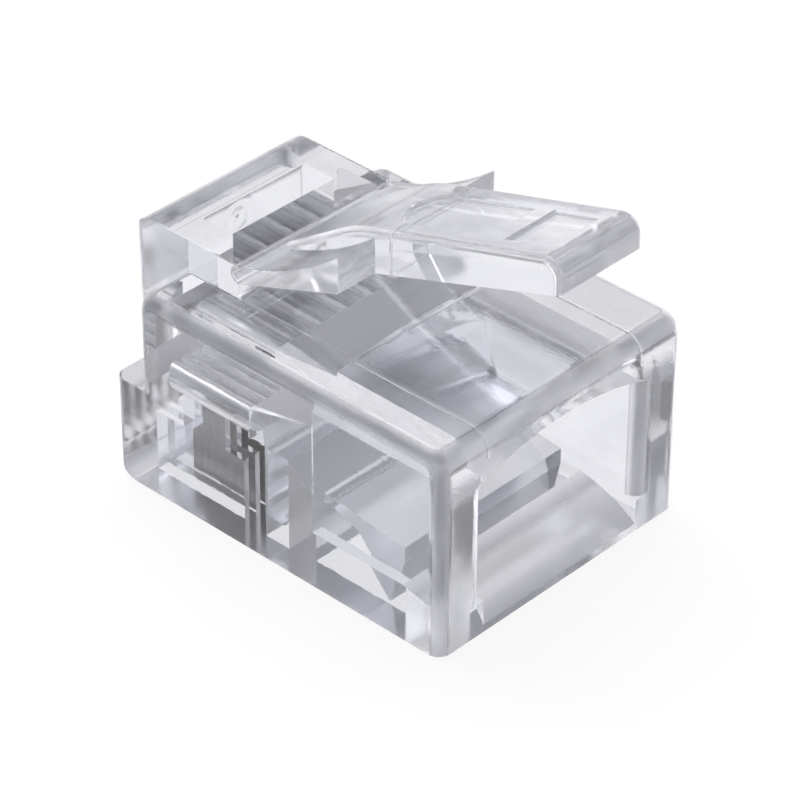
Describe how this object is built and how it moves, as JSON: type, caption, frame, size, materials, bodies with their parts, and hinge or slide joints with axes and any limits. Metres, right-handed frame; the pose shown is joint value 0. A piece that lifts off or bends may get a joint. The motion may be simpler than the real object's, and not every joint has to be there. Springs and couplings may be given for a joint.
{
  "type": "six position modular plug",
  "caption": "Clear moulded six position modular plug with a spring latch, an open cable mouth, hinged crimp bars and contact blades set in slots.",
  "frame": {"origin": "on the contact face that the plug rests on, midway across, and midway between the rear face and the front of the lower nose", "axes": "+Y towards the nose that enters the jack, +Z towards the latch, X across the plug"},
  "size_m": [0.0096, 0.0144, 0.0114],
  "materials": {
    "clear_plastic": "clear polished moulding",
    "contact_metal": "plated stamped strip"
  },
  "bodies": {
    "housing": {"housing": "clear_plastic"},
    "latch": {"latch": "clear_plastic"},
    "jacket_anchor": {"jacket_anchor": "clear_plastic"},
    "conductor_anchor": {"conductor_anchor": "clear_plastic"},
    "contacts": {"contact_blade_1": "contact_metal", "contact_blade_2": "contact_metal", "contact_blade_3": "contact_metal", "contact_blade_4": "contact_metal"}
  },
  "joints": [
    {"name": "latch_flex", "type": "hinge", "parent": "housing", "child": "latch", "pos_m": [0, 0.00297, 0.00721], "axis": [1, 0, 0], "range_deg": [0, 16], "stiffness_Nm_per_rad": 0.15},
    {"name": "jacket_crimp", "type": "hinge", "parent": "housing", "child": "jacket_anchor", "pos_m": [0, -0.00122, 0.00198], "axis": [-1, 0, 0], "range_deg": [0, 25]},
    {"name": "conductor_crimp", "type": "slide", "parent": "housing", "child": "conductor_anchor", "axis": [0, 0, 1], "range_m": [0, 0.0008]},
    {"name": "contact_crimp", "type": "slide", "parent": "housing", "child": "contacts", "axis": [0, 0, 1], "range_m": [0, 0.0006]}
  ]
}
